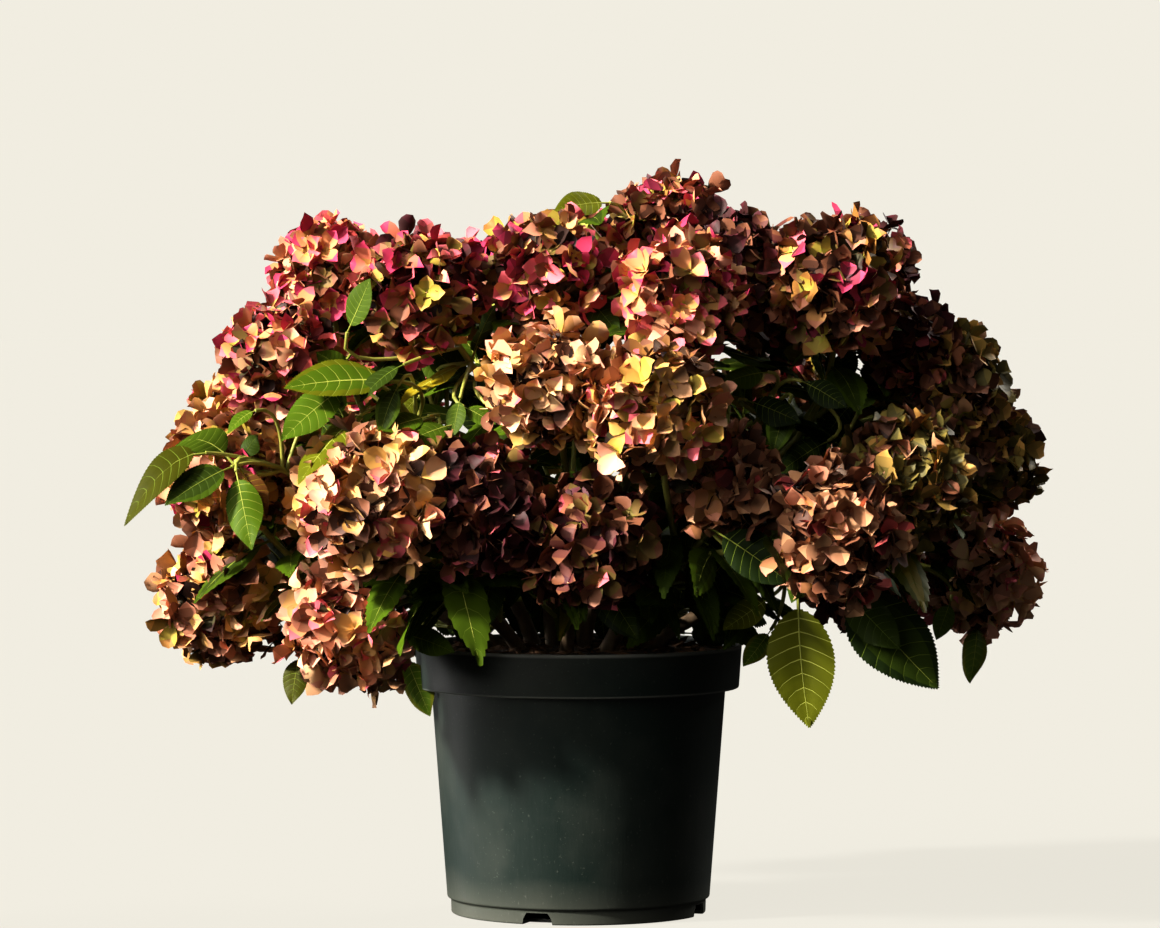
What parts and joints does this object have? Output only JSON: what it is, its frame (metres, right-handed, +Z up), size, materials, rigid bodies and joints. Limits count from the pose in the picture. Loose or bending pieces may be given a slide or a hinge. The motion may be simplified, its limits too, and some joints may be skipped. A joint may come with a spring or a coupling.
{
  "type": "hydrangea shrub in a nursery pot",
  "caption": "Bushy late-season hydrangea with a wide, rounded crown of mophead blooms and pointed leaves, growing from soil in a plain round nursery pot.",
  "frame": {"origin": "middle of the flat underside of the pot", "axes": "+Z up out of the pot, -Y towards the front that faces the viewer, +X to the viewer's right, along the crown's widest way"},
  "size_m": [0.7779, 0.6502, 0.639],
  "materials": {
    "pot": "moulded, slightly glossy near-black plastic with a green cast and fine dust",
    "soil": "moist dark potting soil with bark chips",
    "stem": "rough brown bark, low down, turning green on the shoots",
    "bloom": "papery late-season sepals, from rose and salmon to olive, tan and maroon",
    "leaf": "soft satin green with pale sunken veins"
  },
  "bodies": {
    "root": {"pot": "pot", "soil": "soil", "stem_01": "stem", "stem_02": "stem", "stem_03": "stem", "stem_04": "stem", "stem_05": "stem", "stem_06": "stem", "stem_07": "stem", "stem_08": "stem", "stem_09": "stem", "stem_10": "stem", "stem_11": "stem", "stem_12": "stem", "stem_13": "stem", "leaves_01": "leaf", "leaves_02": "leaf", "leaves_03": "leaf", "leaves_04": "leaf", "leaves_05": "leaf", "leaves_06": "leaf", "leaves_07": "leaf", "leaves_08": "leaf", "bloom_01": "bloom", "bloom_02": "bloom", "bloom_03": "bloom", "bloom_04": "bloom", "bloom_05": "bloom", "bloom_06": "bloom", "bloom_07": "bloom", "bloom_08": "bloom", "bloom_09": "bloom", "bloom_10": "bloom", "bloom_11": "bloom", "bloom_12": "bloom", "bloom_13": "bloom", "bloom_14": "bloom", "bloom_15": "bloom", "bloom_16": "bloom", "bloom_17": "bloom", "bloom_18": "bloom", "bloom_19": "bloom", "bloom_20": "bloom", "bloom_21": "bloom", "bloom_22": "bloom", "bloom_23": "bloom", "bloom_24": "bloom", "bloom_25": "bloom", "bloom_26": "bloom", "bloom_27": "bloom", "bloom_28": "bloom", "bloom_29": "bloom", "bloom_30": "bloom", "bloom_31": "bloom", "bloom_32": "bloom", "bloom_33": "bloom", "bloom_34": "bloom", "bloom_35": "bloom", "bloom_36": "bloom", "bloom_37": "bloom"}
  },
  "joints": []
}
